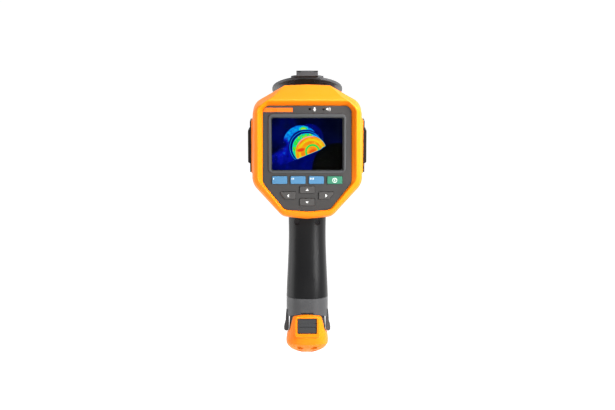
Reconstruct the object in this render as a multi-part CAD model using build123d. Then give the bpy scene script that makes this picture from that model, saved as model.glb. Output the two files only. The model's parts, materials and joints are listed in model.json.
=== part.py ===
from build123d import *
import os
from math import atan2, cos, hypot, pi, radians, sin

# Pistol-grip thermal imaging camera, as an assembly of separate sub-parts.
#
# Frame, in millimetres: the origin is on the optical axis, at the mouth of the lens ring.
# +Y looks out of the lens, +X is to the right of a user who looks at the display, +Z is up.
# Each sub-part is written to parts/NODE.step.

# ---------------------------------------------------------------- driving dimensions
RIM_Y = -148.0  # rear edge of the display hood
SPLIT_Y = -88.0  # plane where the rear and the front casing meet
NOSE_Y = -26.0  # front face of the front casing
WALL = 2.5  # casing wall
GAP = 0.35  # clearance round parts that move

PANEL_TILT = 3.0  # the control panel looks up by this many degrees
PANEL_Y, PANEL_Z = -142.0, 13.0  # centre of the display
PANEL_T = 2.5  # control panel thickness
SCREEN_W, SCREEN_H, SCREEN_V = 70.8, 52.2, -0.2  # opening in the screen frame; V is its centre's height

RING_R = 37.2  # front ring and lens cover radius
SOCKET_R, SOCKET_L = 27.0, 7.0  # accessory lens socket
BARREL_R = 31.0  # barrel under the focus ring
HINGE_Y, HINGE_Z = 3.0, 40.6  # lens cover hinge axis, along X
COVER_OPEN = 246.2  # turn from closed to fully open, degrees
COVER_T = 3.0  # lens cover thickness

GRIP_LEAN = 9.0  # the grip's foot lies back towards the user
GRIP_Y, GRIP_Z = -104.0, -58.0  # top of the grip's axis
SEAM_S, SEAM_TILT = 88.2, 7.6  # distance down the grip's axis to the collar, and the seam's tilt in degrees
COLLAR_S = 107.0  # collar to battery cap
CAP_S = 131.5  # widest part of the battery cap
FOOT_S = 147.4  # lowest point of the battery cap
BAY_W, BAY_D, BAY_R = 29.0, 30.0, 9.0  # battery bay: width, depth, corner radius
BAY_SHIFT = -3.0  # the bay lies behind the grip's axis
PACK_GAP = 0.5  # clearance of the battery pack in its bay

BOSS_X = 56.1  # face of the side bosses
STRAP_Y = -110.0  # centre of the strap brackets
STRAP_Z0, STRAP_Z1 = -18.0, 33.6

DOOR_W, DOOR_H, DOOR_T = 30.0, 26.0, 3.0  # port door
DOOR_PIN_R = 0.8
PIN_AT = (-DOOR_H / 2 + 1.7, -1.6)  # door pin in the door's own frame: y, z

# ---------------------------------------------------------------- frames
_t, _g = radians(PANEL_TILT), radians(GRIP_LEAN)
PANEL = Plane(origin=(0, PANEL_Y, PANEL_Z), x_dir=(1, 0, 0), z_dir=(0, -cos(_t), sin(_t)))
GRIP = Plane(origin=(0, GRIP_Y, GRIP_Z), x_dir=(1, 0, 0), z_dir=(0, sin(_g), cos(_g)))
HINGE = Axis((0, HINGE_Y, HINGE_Z), (1, 0, 0))

# ---------------------------------------------------------------- the casing's outline
# Each station is (y, roof edge, shoulder, side foot, lower corner, crown, keel) with its fillet radii.
# The corners are (x, z) of the right half, and the left half mirrors them.
STATIONS = {
    "rim": (RIM_Y, (40.5, 56.7), (49.0, 48.4), (49.4, -22.5), (24.2, -53.6), 56.9, -55.8, (9, 9, 12, 11)),
    "round": (-145.8, (37.5, 58.2), (51.7, 48.2), (52.6, -25.0), (24.4, -57.6), 58.4, -59.8, (6, 10, 15, 11)),
    "brow": (-139.0, (33.0, 60.0), (53.9, 48.2), (54.8, -27.5), (24.6, -60.8), 60.5, -63.2, (1.5, 12, 18, 12)),
    "crest": (-110.0, (22.7, 68.4), (54.4, 50.4), (54.8, -26.5), (24.5, -59.4), 69.2, -62.2, (1.5, 14, 18, 12)),
    "split": (SPLIT_Y, (20.0, 65.0), (50.5, 45.0), (50.5, -24.0), (24.0, -56.6), 65.8, -59.4, (2, 14, 18, 12)),
    "neck": (-50.0, (17.0, 53.0), (43.5, 33.0), (43.5, -24.0), (23.5, -54.0), 54.0, -56.6, (6, 14, 16, 12)),
    "nose": (NOSE_Y, (15.0, 40.5), (40.0, 21.0), (40.0, -24.0), (22.0, -53.0), 41.0, -55.0, (10, 14, 16, 12)),
}


def inset_polygon(points, distance):
    """The closed polygon with every side moved inwards; the points run clockwise."""
    moved = []
    count = len(points)
    for i in range(count):
        (ax, az), (bx, bz), (cx, cz) = points[i - 1], points[i], points[(i + 1) % count]
        d1, d2 = (bx - ax, bz - az), (cx - bx, cz - bz)
        n1 = (d1[1] / hypot(*d1), -d1[0] / hypot(*d1))
        n2 = (d2[1] / hypot(*d2), -d2[0] / hypot(*d2))
        share = distance / (1 + n1[0] * n2[0] + n1[1] * n2[1])
        moved.append((bx + (n1[0] + n2[0]) * share, bz + (n1[1] + n2[1]) * share))
    return moved


def outline_corners(station, inset=0.0):
    """Corner points, clockwise from the crown, and their fillet radii."""
    y, roof, shoulder, side, low, crown, keel, radii = station
    right = [roof, shoulder, side, low]
    left = [(-x, z) for x, z in reversed(right)]
    points = [(0.0, crown)] + right + [(0.0, keel)] + left
    around = [60.0] + list(radii) + [60.0] + list(reversed(radii))
    if inset:
        points = inset_polygon(points, inset)
        around = [max(0.6, r - inset) for r in around]
    return points, around


def casing_wire(name, inset=0.0, y=None):
    """The casing's outline at a station, moved inwards by inset, in the plane at y."""
    station = STATIONS[name]
    points, radii = outline_corners(station, inset)
    at = station[0] if y is None else y
    return FilletPolyline(*[(x, at, z) for x, z in points], radius=radii, close=True).wire()


def casing_loft(names, inset=0.0, first_y=None, last_y=None):
    """Ruled solid through the named stations."""
    wires = []
    for i, name in enumerate(names):
        y = first_y if i == 0 else last_y if i == len(names) - 1 else None
        wires.append(casing_wire(name, inset, y))
    return Solid.make_loft(wires, ruled=True)


# The control panel's outline in its own plane, with the same corners as the casing's outline.
PANEL_OUTLINE = ((39.6, 37.6), (43.6, 33.4), (43.9, -38.5), (22.4, -65.2), 37.8, -67.2, (5, 5, 10, 8))


def panel_wire(inset=0.0, height=0.0):
    roof, shoulder, side, low, crown, keel, radii = PANEL_OUTLINE
    points, around = outline_corners((0, roof, shoulder, side, low, crown, keel, radii), inset)
    flat = FilletPolyline(*[(x, y, height) for x, y in points], radius=around, close=True)
    return PANEL.location * flat.wire()


def panel_prism(inset, low, high):
    return Solid.make_loft([panel_wire(inset, low), panel_wire(inset, high)], ruled=True)


# ---------------------------------------------------------------- small helpers
def box(x0, x1, y0, y1, z0, z1):
    return Pos((x0 + x1) / 2, (y0 + y1) / 2, (z0 + z1) / 2) * Box(x1 - x0, y1 - y0, z1 - z0)


def rod_x(radius, x0, x1, y, z):
    return Pos((x0 + x1) / 2, y, z) * Rot(0, 90, 0) * Cylinder(radius, x1 - x0)


def rod_y(radius, y0, y1, x=0.0, z=0.0):
    return Pos(x, (y0 + y1) / 2, z) * Rot(-90, 0, 0) * Cylinder(radius, y1 - y0)


def ring_y(outer, inner, y0, y1, x=0.0, z=0.0):
    return rod_y(outer, y0, y1, x, z) - rod_y(inner, y0 - 1, y1 + 1, x, z)


def rounded_plate(width, height, radius, low, high, x=0.0, y=0.0):
    """Plate in the local XY plane between two heights."""
    return extrude(Pos(x, y, low) * RectangleRounded(width, height, radius), high - low)


def on_panel(shape):
    return PANEL.location * shape


def on_grip(shape):
    return GRIP.location * shape


def oval_wire(half_width, half_depth, s, power=2.6, shift=0.0, count=24):
    """Superellipse across the grip's axis, s down from its top."""
    points = []
    for i in range(count):
        a = 2 * pi * i / count
        c, q = cos(a), sin(a)
        x = half_width * abs(c) ** (2 / power) * (1 if c >= 0 else -1)
        y = half_depth * abs(q) ** (2 / power) * (1 if q >= 0 else -1)
        points.append((x, y + shift, -s))
    return Wire([Edge.make_spline(points, periodic=True)])


def oval_loft(sections, power=2.6):
    """Smooth solid through (s, half width, half depth) sections."""
    return Solid.make_loft([oval_wire(a, b, s, power) for s, a, b in sections])


def screw(radius, head_r, length, head_t, recess_r=None):
    """Countersunk-style screw: head top at z = 0, shank down -Z, with a hexagon recess."""
    body = Pos(0, 0, -head_t / 2) * Cylinder(head_r, head_t)
    body += Pos(0, 0, -head_t - length / 2) * Cylinder(radius, length)
    socket = extrude(Pos(0, 0, -head_t * 0.6) * RegularPolygon(recess_r or head_r * 0.5, 6), head_t)
    return body - socket


def lay_along_y(shape, x, y, z, forward=True):
    """Turns a screw's head to face +Y (forward) or -Y."""
    return Pos(x, y, z) * Rot(-90 if forward else 90, 0, 0) * shape


parts = {}

# ---------------------------------------------------------------- rear casing
SCREW_WELLS = [(44.0, 29.0), (-44.0, 29.0), (41.0, -27.0), (-41.0, -27.0)]
WELL_R, WELL_Y = 3.4, -76.0

casing_outer = casing_loft(["rim", "round", "brow", "crest", "split"])
front_outer = casing_loft(["split", "neck", "nose"])


def side_boss(sign):
    """Flat pad that carries a strap bracket."""
    pad = box(0, BOSS_X - 44, STRAP_Y - 14, STRAP_Y + 14, STRAP_Z0 - 1.2, STRAP_Z1 + 1.2)
    pad = Pos(44, 0, 0) * pad
    pad = fillet(pad.faces().sort_by(Axis.X)[-1].edges(), 1.0)
    return pad if sign > 0 else pad.mirror(Plane.YZ)


def strap_screw_places():
    return [(STRAP_Y, STRAP_Z0 + 4.4), (STRAP_Y, STRAP_Z1 - 4.4)]


def make_rear_case():
    body = casing_outer + side_boss(1) + side_boss(-1)
    visor = Solid.make_loft([casing_wire("rim", 0.7, RIM_Y - 0.5), panel_wire(-0.15, 0.0)], ruled=True)
    pocket = panel_prism(-0.15, -PANEL_T - 0.1, 0.01)
    ledge = panel_prism(2.4, -PANEL_T - 12.0, -PANEL_T + 0.5)
    cavity = casing_loft(["brow", "crest", "split"], WALL, -136.6, SPLIT_Y + 1)
    body = body - visor - pocket - ledge - cavity
    for x, z in SCREW_WELLS:
        boss = rod_y(4.4, SPLIT_Y - 14, SPLIT_Y - 0.3, x, z) & casing_outer
        body += boss
        body -= rod_y(1.5, SPLIT_Y - 11, SPLIT_Y + 1, x, z)
    for y, z in strap_screw_places():
        for sign in (1, -1):
            body -= rod_x(1.25, *sorted((sign * 50.0, sign * 60.0)), y, z)
    body -= box(-8, 8, -100, SPLIT_Y + 1, -70, -55)  # cable way into the grip
    return body


parts["rear_case"] = make_rear_case()

# ---------------------------------------------------------------- front casing
CHIN_Z = -45.6  # row of small windows under the lens
WINDOWS = {"camera": (-16.0, 5.6), "laser": (0.0, 4.0), "torch": (16.0, 5.4)}

_side = atan2(7.0, 38.0)  # the side wall's turn between the split and the neck
DOOR = Plane(
    origin=(-50.5 + 7.0 * 21 / 38, SPLIT_Y + 21, 2.0),
    x_dir=(-sin(_side), -cos(_side), 0),
    z_dir=(-cos(_side), sin(_side), 0),
)


def on_door(shape):
    return DOOR.location * shape


def make_front_case():
    cavity = casing_loft(["split", "neck", "nose"], WALL, SPLIT_Y - 1, NOSE_Y - 3.0)
    body = front_outer - cavity
    posts = [rod_y(WELL_R + 1.6, SPLIT_Y + 0.3, NOSE_Y - 0.5, x, z) for x, z in SCREW_WELLS]
    wells = [rod_y(WELL_R, WELL_Y, NOSE_Y + 10, x, z) for x, z in SCREW_WELLS]
    shanks = [rod_y(1.8, SPLIT_Y - 1, WELL_Y + 1, x, z) for x, z in SCREW_WELLS]
    body += [post & front_outer for post in posts]
    cuts = wells + shanks
    cuts.append(rod_y(BARREL_R + 0.05, NOSE_Y - 5, NOSE_Y + 5))
    for x, radius in WINDOWS.values():
        cuts.append(rod_y(radius + 0.05, NOSE_Y - 5, NOSE_Y + 5, x, CHIN_Z))
    opening = rounded_plate(DOOR_W + 2 * GAP, DOOR_H + 2 * GAP, 2.5, -12, 6)
    cuts.append(on_door(opening))
    side, foot = DOOR_W / 2 + GAP, -DOOR_H / 2 - GAP
    cuts.append(on_door(box(-side, side, foot, foot + 6, -3.6, 6)))  # room for the opened door
    cuts.append(on_door(Pos(0, *PIN_AT) * Rot(0, 90, 0) * Cylinder(DOOR_PIN_R, DOOR_W + 4)))
    cuts.append(box(-8, 8, SPLIT_Y - 1, -72, -70, -52))  # cable way into the grip
    body -= cuts
    skin = front_outer - casing_loft(["split", "neck", "nose"], 1.1, SPLIT_Y, NOSE_Y)
    for i in range(5):  # cooling grooves on the right cheek
        z = -14.0 + 5.0 * i
        body -= box(38.4, 50.0, -62, -38, z, z + 1.6) & skin
    return body


parts["front_case"] = make_front_case()


def make_casing_gasket():
    """Rubber seal squeezed in a groove between the two casings."""
    outer = casing_loft(["split", "split"], 0.8, SPLIT_Y - 0.5, SPLIT_Y + 0.5)
    inner = casing_loft(["split", "split"], 1.8, SPLIT_Y - 1.0, SPLIT_Y + 1.0)
    return outer - inner


parts["casing_gasket"] = make_casing_gasket()
parts["rear_case"] -= parts["casing_gasket"]
parts["front_case"] -= parts["casing_gasket"]

parts["case_screws"] = Compound(
    [lay_along_y(screw(1.45, 2.9, 9.0, 2.4), x, WELL_Y + 2.4, z) for x, z in SCREW_WELLS]
)

# ---------------------------------------------------------------- control panel and display
FRAME_W, FRAME_H, FRAME_R, FRAME_V = 77.0, 59.2, 5.2, 0.6
KEY_W, KEY_H = 15.0, 7.6
KEY_RISE, KEY_FLANGE = 1.7, 0.8
SOFT_ROW = -35.8  # row of soft keys and the power key
SOFT_X = {"key_f1": -27.3, "key_f2": -9.1, "key_f3": 9.1, "key_power": 27.3}
ARROWS = {
    "key_up": (0.0, -45.5),
    "key_down": (0.0, -57.8),
    "key_left": (-18.9, -51.2),
    "key_right": (18.9, -51.2),
}
ARROW_W, ARROW_H = 14.8, 7.0
MIC_X, SPEAKER_X, HOLES_Y = 2.6, 16.1, 34.4
LABEL = (-42.0, -14.3, 31.6, 35.8)  # blank name strip: x0, x1, y0, y1


def arrow_face(name, grow=0.0):
    """Face of an arrow key; the left and right keys have one cut corner."""
    w, h = ARROW_W / 2 + grow, ARROW_H / 2 + grow
    if name in ("key_up", "key_down"):
        return make_face(FilletPolyline((-w, -h), (w, -h), (w, h), (-w, h), radius=0.9, close=True))
    side = -1 if name == "key_left" else 1
    points = [(-side * w, h), (side * w, h), (side * w, h - 1.6), (side * (w - 4.2), -h), (-side * w, -h)]
    return make_face(FilletPolyline(*points, radius=0.7, close=True))


def key_face(name, grow=0.0):
    """Key outline at its place on the panel."""
    if name in SOFT_X:
        return Pos(SOFT_X[name], SOFT_ROW, 0) * RectangleRounded(KEY_W + 2 * grow, KEY_H + 2 * grow, 1.1 + grow)
    x, y = ARROWS[name]
    return Pos(x, y, 0) * arrow_face(name, grow)


KEYS = list(SOFT_X) + list(ARROWS)


def make_key(name):
    """Key cap with a retaining flange behind the panel."""
    flange_low = -PANEL_T - 0.1 - KEY_FLANGE
    cap = extrude(Pos(0, 0, flange_low) * key_face(name), KEY_RISE - flange_low)
    cap = fillet(cap.faces().sort_by(Axis.Z)[-1].edges(), 0.45)
    flange = extrude(Pos(0, 0, flange_low) * key_face(name, 0.8), KEY_FLANGE)
    return on_panel(cap + flange)


for key_name in KEYS:
    parts[key_name] = make_key(key_name)


def make_control_panel():
    plate = panel_prism(0.0, -PANEL_T, 0.0)
    cuts = rounded_plate(FRAME_W + 0.2, FRAME_H + 0.2, FRAME_R + 0.1, -PANEL_T - 1, 1, 0, FRAME_V)
    for name in KEYS:
        cuts += extrude(Pos(0, 0, -PANEL_T - 1) * key_face(name, GAP), PANEL_T + 2)
    for x in (MIC_X, SPEAKER_X):
        cuts += Pos(x, HOLES_Y, 0) * Cylinder(1.25, 12)
    x0, x1, y0, y1 = LABEL
    cuts += box(x0 - 4, x1, y0, y1, -0.4, 1)
    return plate - on_panel(cuts)


parts["control_panel"] = make_control_panel()


def make_name_strip():
    """Blank coloured strip let into the panel's top left corner."""
    x0, x1, y0, y1 = LABEL
    strip = on_panel(box(x0 - 4, x1 - 0.05, y0 + 0.05, y1 - 0.05, -0.4, 0.0))
    return strip & panel_prism(0.3, -PANEL_T, 1.0)


parts["name_strip"] = make_name_strip()


def make_screen_frame():
    body = rounded_plate(FRAME_W, FRAME_H, FRAME_R, -PANEL_T, 1.3, 0, FRAME_V)
    body = fillet(body.faces().sort_by(Axis.Z)[-1].edges(), 0.8)
    body -= rounded_plate(75.2, 56.2, 2.0, -PANEL_T - 1, -0.45)
    lower = Pos(0, SCREEN_V, -0.5) * RectangleRounded(SCREEN_W, SCREEN_H, 1.4)
    upper = Pos(0, SCREEN_V, 1.35) * RectangleRounded(SCREEN_W + 2.4, SCREEN_H + 2.4, 2.6)
    body -= loft([lower, upper], ruled=True)
    return on_panel(body)


parts["screen_frame"] = make_screen_frame()
parts["touch_glass"] = on_panel(rounded_plate(75.0, 56.0, 1.9, -1.6, -0.5))
parts["lcd_panel"] = on_panel(
    rounded_plate(74.0, 55.0, 1.0, -PANEL_T - 0.2, -1.7) + rounded_plate(80.0, 61.0, 1.5, -5.8, -PANEL_T - 0.2)
)


def make_keypad_sheet():
    """Rubber key mat: a thin web with one dome under each key."""
    web_top = -PANEL_T - KEY_FLANGE - 1.25
    corners = [(-38, -31.2), (38, -31.2), (38, -40), (20, -62.5), (-20, -62.5), (-38, -40)]
    sheet = extrude(Pos(0, 0, web_top - 1.0) * make_face(FilletPolyline(*corners, radius=3, close=True)), 1.0)
    for name in KEYS:
        x, y = (SOFT_X[name], SOFT_ROW) if name in SOFT_X else ARROWS[name]
        sheet += Pos(x, y, web_top + 0.12) * Cylinder(2.6, 0.24)
    return on_panel(sheet)


parts["keypad_sheet"] = make_keypad_sheet()


def make_main_board():
    plate = panel_prism(3.2, -8.8, -7.2)
    for x in (-32, 32):
        plate -= on_panel(Pos(x, 26, -8) * Cylinder(1.6, 6))
    return plate


parts["main_board"] = make_main_board()
CHIPS = [  # x, y, width, height, thickness
    (-14, 6, 17, 17, 1.6),
    (14, 10, 13, 13, 1.2),
    (8, -14, 10, 16, 1.1),
    (-22, -22, 12, 9, 2.0),
    (26, -20, 8, 8, 3.2),
]
parts["board_components"] = Compound(
    [on_panel(box(x - w / 2, x + w / 2, y - h / 2, y + h / 2, -8.8 - t, -8.8)) for x, y, w, h, t in CHIPS]
)
parts["audio_parts"] = Compound(
    [
        on_panel(Pos(SPEAKER_X, 33.0, -4.6) * Cylinder(2.1, 3.8)),
        on_panel(Pos(MIC_X, 33.2, -3.7) * Cylinder(1.8, 2.0)),
    ]
)

# ---------------------------------------------------------------- lens barrel and optics
FLANGE_Y = -9.6
FOCUS_Y0, FOCUS_Y1 = NOSE_Y + 0.4, FLANGE_Y - 0.35
FOCUS_R = 38.8
EAR_X0, EAR_X1 = 8.2, 11.4  # hinge ears, on both sides of the cover's knuckle
KNUCKLE_R, PIN_R = 3.2, 1.5


def hinge_ear():
    """One ear of the cover's hinge, on the right."""
    boss = rod_x(KNUCKLE_R, EAR_X0, EAR_X1, HINGE_Y, HINGE_Z)
    side = [(-7.5, 35.6), (-0.3, 35.6), (HINGE_Y, HINGE_Z - 3.1), (1.0, HINGE_Z + 2.4), (-0.1, HINGE_Z)]
    web = extrude(Plane.YZ * make_face(Polyline(*side, close=True)), EAR_X1 - EAR_X0)
    return boss + Pos(EAR_X0, 0, 0) * web


def make_lens_barrel():
    """Fixed barrel with the front ring, the accessory socket and the hinge ears."""
    body = rod_y(BARREL_R, -33.0, FLANGE_Y + 0.1) + rod_y(RING_R, FLANGE_Y, 0.0)
    body += ring_y(BARREL_R + 2.6, BARREL_R - 2, -33.0, NOSE_Y - 3.1)
    ear = hinge_ear()
    body += ear + ear.mirror(Plane.YZ)
    body -= rod_y(SOCKET_R, -SOCKET_L, 1.0)
    body -= rod_y(25.5, -20.0, -SOCKET_L + 0.5)
    body -= rod_y(22.0, -34.0, -19.5)
    body -= rod_x(PIN_R, -EAR_X1 - 1, EAR_X1 + 1, HINGE_Y, HINGE_Z)
    for k in range(3):  # bayonet ramps' grooves in the socket wall
        a = radians(30 + 120 * k)
        body -= rod_y(1.3, -SOCKET_L, -SOCKET_L + 2.0, (SOCKET_R + 0.4) * cos(a), (SOCKET_R + 0.4) * sin(a))
    return body


parts["lens_barrel"] = make_lens_barrel()


def make_focus_ring():
    body = ring_y(FOCUS_R, BARREL_R + 0.08, FOCUS_Y0, FOCUS_Y1)
    count = 40
    for k in range(count):
        a = 2 * pi * k / count
        groove = rod_y(1.5, FOCUS_Y0 + 2.2, FOCUS_Y1 - 2.2, (FOCUS_R + 0.7) * cos(a), (FOCUS_R + 0.7) * sin(a))
        body -= groove
    return body


parts["focus_ring"] = make_focus_ring()


def lens_element(radius, y_back, y_rim, y_front):
    """Meniscus: domed front, hollow back."""
    rise = y_front - y_rim
    ball_r = (radius**2 + rise**2) / (2 * rise)
    body = rod_y(radius, y_back, y_front)
    body &= Pos(0, y_front - ball_r, 0) * Sphere(ball_r)
    hollow_r = ball_r * 1.35
    body -= Pos(0, y_back - hollow_r + 1.8, 0) * Sphere(hollow_r)
    return body


parts["front_lens"] = lens_element(25.3, -18.6, -13.0, -8.6)
parts["lens_retainer"] = ring_y(25.45, 24.0, -11.6, -7.2)
parts["front_lens"] -= ring_y(30.0, 23.9, -11.7, -5.0)
parts["rear_lens"] = lens_element(15.0, -43.0, -39.0, -36.6)


def make_lens_cell():
    """Holder of the rear lens, screwed to the barrel."""
    body = rod_y(21.9, -46.0, -30.0) - rod_y(15.05, -43.0, -34.0) - rod_y(17.5, -34.5, -29.0)
    return body - rod_y(13.5, -47.0, -42.0)


parts["lens_cell"] = make_lens_cell()
parts["detector_module"] = (
    rod_y(17.0, -53.0, -46.1)
    + box(-20, 20, -66, -52.7, -20, 20)
    + box(-24, 24, -68.2, -66, -24, 24)
    - rod_y(12.0, -50.0, -45.0)
)


def make_optics_chassis():
    """Die-cast plate that ties the barrel, the detector and the casing together."""
    plate = casing_loft(["neck", "neck"], WALL + 0.3, -52.4, -50.0)
    plate -= rod_y(22.6, -56, -44)
    plate -= box(-32, 32, -56, -44, -60, -36)
    plate -= on_door(box(-20, 20, -16, 16, -12, 6))
    for x, z in SCREW_WELLS:
        plate -= rod_y(WELL_R + 1.9, -56, -44, x, z)
    for x, z in ((27, 27), (-27, 27), (27, -27), (-27, -27)):
        plate += rod_y(2.6, -68.0, -50.0, x, z)
    return plate


parts["optics_chassis"] = make_optics_chassis()

# ---------------------------------------------------------------- windows under the lens
def chin_rod(name, shrink, y0, y1):
    x, radius = WINDOWS[name]
    return rod_y(radius - shrink, y0, y1, x, CHIN_Z)


parts["chin_windows"] = Compound([chin_rod(name, 0.0, NOSE_Y - 2.4, NOSE_Y - 0.8) for name in WINDOWS])
CHIN_MODULES = {"camera": 20.0, "laser": 26.0, "torch": 9.0}
parts["chin_modules"] = Compound(
    [chin_rod(name, 0.9, NOSE_Y - depth, NOSE_Y - 3.3) for name, depth in CHIN_MODULES.items()]
)

# ---------------------------------------------------------------- lens cover, drawn closed and then opened
TAB_W, TAB_L, TAB_HOOK = 22.4, 4.0, 4.8  # finger tab: width, length past the rim, reach over the lens ring
COVER_Y0 = 0.4


def make_lens_cover():
    face_y = COVER_Y0 + COVER_T
    disc = rod_y(RING_R, COVER_Y0, face_y)
    disc = fillet(disc.edges().filter_by(GeomType.CIRCLE), 0.7)
    disc -= rod_y(RING_R - 2.2, face_y - 0.8, face_y + 1)  # dished outer face
    brow = ring_y(RING_R + 1.1, RING_R + 0.45, COVER_Y0 - 1.2, COVER_Y0 + 1.4)
    brow += ring_y(RING_R + 1.1, RING_R - 1.5, COVER_Y0, COVER_Y0 + 1.4)
    disc += brow & box(-16.8, 16.8, -5, 5, -RING_R - 3, 0)
    slope = [(COVER_Y0 + 1.4, -RING_R + 0.4), (face_y, -RING_R + 5), (8, -RING_R + 5), (8, -RING_R - 2)]
    slope.append((COVER_Y0 + 1.4, -RING_R - 2))
    disc -= Pos(-13.6, 0, 0) * extrude(Plane.YZ * make_face(Polyline(*slope, close=True)), 27.2)  # thumb scoop
    foot = -RING_R - TAB_L
    tab = box(-TAB_W / 2, TAB_W / 2, COVER_Y0 - TAB_HOOK, COVER_Y0 + 1.4, foot, -RING_R - 0.45)
    tab = fillet(tab.faces().sort_by(Axis.Z)[0].edges(), 0.7)
    tab += box(-TAB_W / 2, TAB_W / 2, COVER_Y0, COVER_Y0 + 1.4, -RING_R - 2, -RING_R + 3.2)
    for x in (-TAB_W / 2, TAB_W / 2):
        tab -= box(x - 4.8, x + 4.8, COVER_Y0 - TAB_HOOK + 0.9, COVER_Y0 - TAB_HOOK + 1.9, foot - 1, foot + 1.6)
    inside = EAR_X0 - 0.4
    knuckle = rod_x(KNUCKLE_R - 0.1, -inside, inside, HINGE_Y, HINGE_Z)
    knuckle += box(-inside, inside, COVER_Y0, face_y, RING_R - 3.2, HINGE_Z)
    body = disc + tab + knuckle
    body -= rod_y(RING_R - 3.4, COVER_Y0 - 1, COVER_Y0 + 1.0)  # room for the seal pad
    return body - rod_x(PIN_R + 0.06, -EAR_X1, EAR_X1, HINGE_Y, HINGE_Z)


def opened(shape):
    return shape.rotate(HINGE, COVER_OPEN)


parts["lens_cover"] = opened(make_lens_cover())
parts["cover_seal"] = opened(rod_y(RING_R - 3.5, COVER_Y0 + 0.3, COVER_Y0 + 1.0))
parts["cover_hinge_pin"] = rod_x(PIN_R, -EAR_X1, EAR_X1, HINGE_Y, HINGE_Z)

# ---------------------------------------------------------------- strap brackets
BRACKET_D = 24.0
BRACKET_BASE, BRACKET_RISE = 1.4, 3.4


def make_strap_bracket():
    """Belt-loop bracket on the right side: a base with two screw tabs and a raised bridge."""
    x0 = BOSS_X
    base = box(x0, x0 + BRACKET_BASE, STRAP_Y - BRACKET_D / 2, STRAP_Y + BRACKET_D / 2, STRAP_Z0, STRAP_Z1)
    bridge = box(
        x0, x0 + BRACKET_RISE, STRAP_Y - BRACKET_D / 2, STRAP_Y + BRACKET_D / 2, STRAP_Z0 + 9.0, STRAP_Z1 - 8.6
    )
    bridge = chamfer(bridge.faces().sort_by(Axis.X)[-1].edges().filter_by(Axis.Y), 1.2)
    slot = box(x0 + 0.5, x0 + 2.2, STRAP_Y - 9.0, STRAP_Y + 9.0, STRAP_Z0 + 7, STRAP_Z1 - 7)
    body = base + bridge - slot
    for y, z in strap_screw_places():
        body -= rod_x(1.6, x0 - 1, x0 + 3, y, z) + rod_x(2.7, x0 + BRACKET_BASE - 0.8, x0 + 3, y, z)
    return body


right_bracket = make_strap_bracket()
parts["strap_bracket_right"] = right_bracket
parts["strap_bracket_left"] = right_bracket.mirror(Plane.YZ)


def side_screw(sign, y, z):
    turned = Rot(0, 90, 0) * screw(1.2, 2.6, 5.6, 0.8)
    placed = Pos(BOSS_X + BRACKET_BASE, y, z) * turned
    return placed if sign > 0 else placed.mirror(Plane.YZ)


parts["bracket_screws"] = Compound([side_screw(s, y, z) for s in (1, -1) for y, z in strap_screw_places()])

# ---------------------------------------------------------------- port door and ports

def make_port_door():
    body = rounded_plate(DOOR_W, DOOR_H, 2.2, -DOOR_T, 0.0)
    body = fillet(body.faces().sort_by(Axis.Z)[-1].edges(), 0.6)
    body -= box(-DOOR_W, DOOR_W, -DOOR_H, PIN_AT[0], -6, 3)
    body += Pos(0, *PIN_AT) * Rot(0, 90, 0) * Cylinder(1.5, DOOR_W - 1.0)
    body -= Pos(0, *PIN_AT) * Rot(0, 90, 0) * Cylinder(DOOR_PIN_R + 0.06, DOOR_W + 4)
    body += box(-5, 5, DOOR_H / 2 - 3.4, DOOR_H / 2 - 1.6, -0.2, 0.8)  # thumb rib
    return on_door(body)


parts["port_door"] = make_port_door()
parts["port_door_pin"] = on_door(Pos(0, *PIN_AT) * Rot(0, 90, 0) * Cylinder(DOOR_PIN_R, DOOR_W + 3.4))
PORTS = {"usb": (-9.0, 5.6, 9.0, 4.0), "hdmi": (3.6, 5.6, 8.0, 3.4), "card": (-1.0, -3.4, 12.0, 1.8)}


def make_port_block():
    """Tray behind the door with the connector mouths."""
    body = rounded_plate(DOOR_W, DOOR_H, 2.2, -11.0, -DOOR_T - 0.5)
    for x, y, w, h in PORTS.values():
        body -= rounded_plate(w, h, 0.5, -10.0, 0, x, y)
    return on_door(body)


parts["port_block"] = make_port_block()


def make_connectors():
    """Metal shells of the two sockets, with their tongues."""
    pieces = []
    for name in ("usb", "hdmi"):
        x, y, w, h = PORTS[name]
        shell = rounded_plate(w - 0.1, h - 0.1, 0.45, -9.9, -3.7, x, y)
        shell -= rounded_plate(w - 1.0, h - 1.0, 0.2, -9.3, 1, x, y)
        tongue = rounded_plate(w - 3.0, h * 0.28, 0.1, -9.3, -4.6, x, y)
        pieces.append(on_door(shell + tongue))
    return Compound(pieces)


parts["port_sockets"] = make_connectors()
_x, _y, _w, _h = PORTS["card"]
parts["memory_card"] = on_door(rounded_plate(_w - 0.8, _h - 0.8, 0.3, -9.9, -4.2, _x, _y))

# ---------------------------------------------------------------- grip
GRIP_SECTIONS = [  # distance down the axis, half width, half depth
    (-12.0, 20.2, 24.0),
    (12.0, 19.1, 22.2),
    (32.0, 19.0, 22.0),
    (62.0, 20.1, 23.2),
    (93.0, 21.3, 24.7),
]
BAY_Y0, BAY_Y1 = BAY_SHIFT - BAY_D / 2, BAY_SHIFT + BAY_D / 2
BAY_TOP_S = 17.6
GRIP_SCREW_X, GRIP_SCREW_S = 10.2, 14.0
TRIGGER_S0, TRIGGER_S1, TRIGGER_W = 21.0, 47.0, 15.0
TRIGGER_PIN = (17.4, 22.6)  # y and s of the trigger's pivot
SMALL_S0, SMALL_S1, SMALL_W = 8.0, 17.6, 12.0

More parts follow.
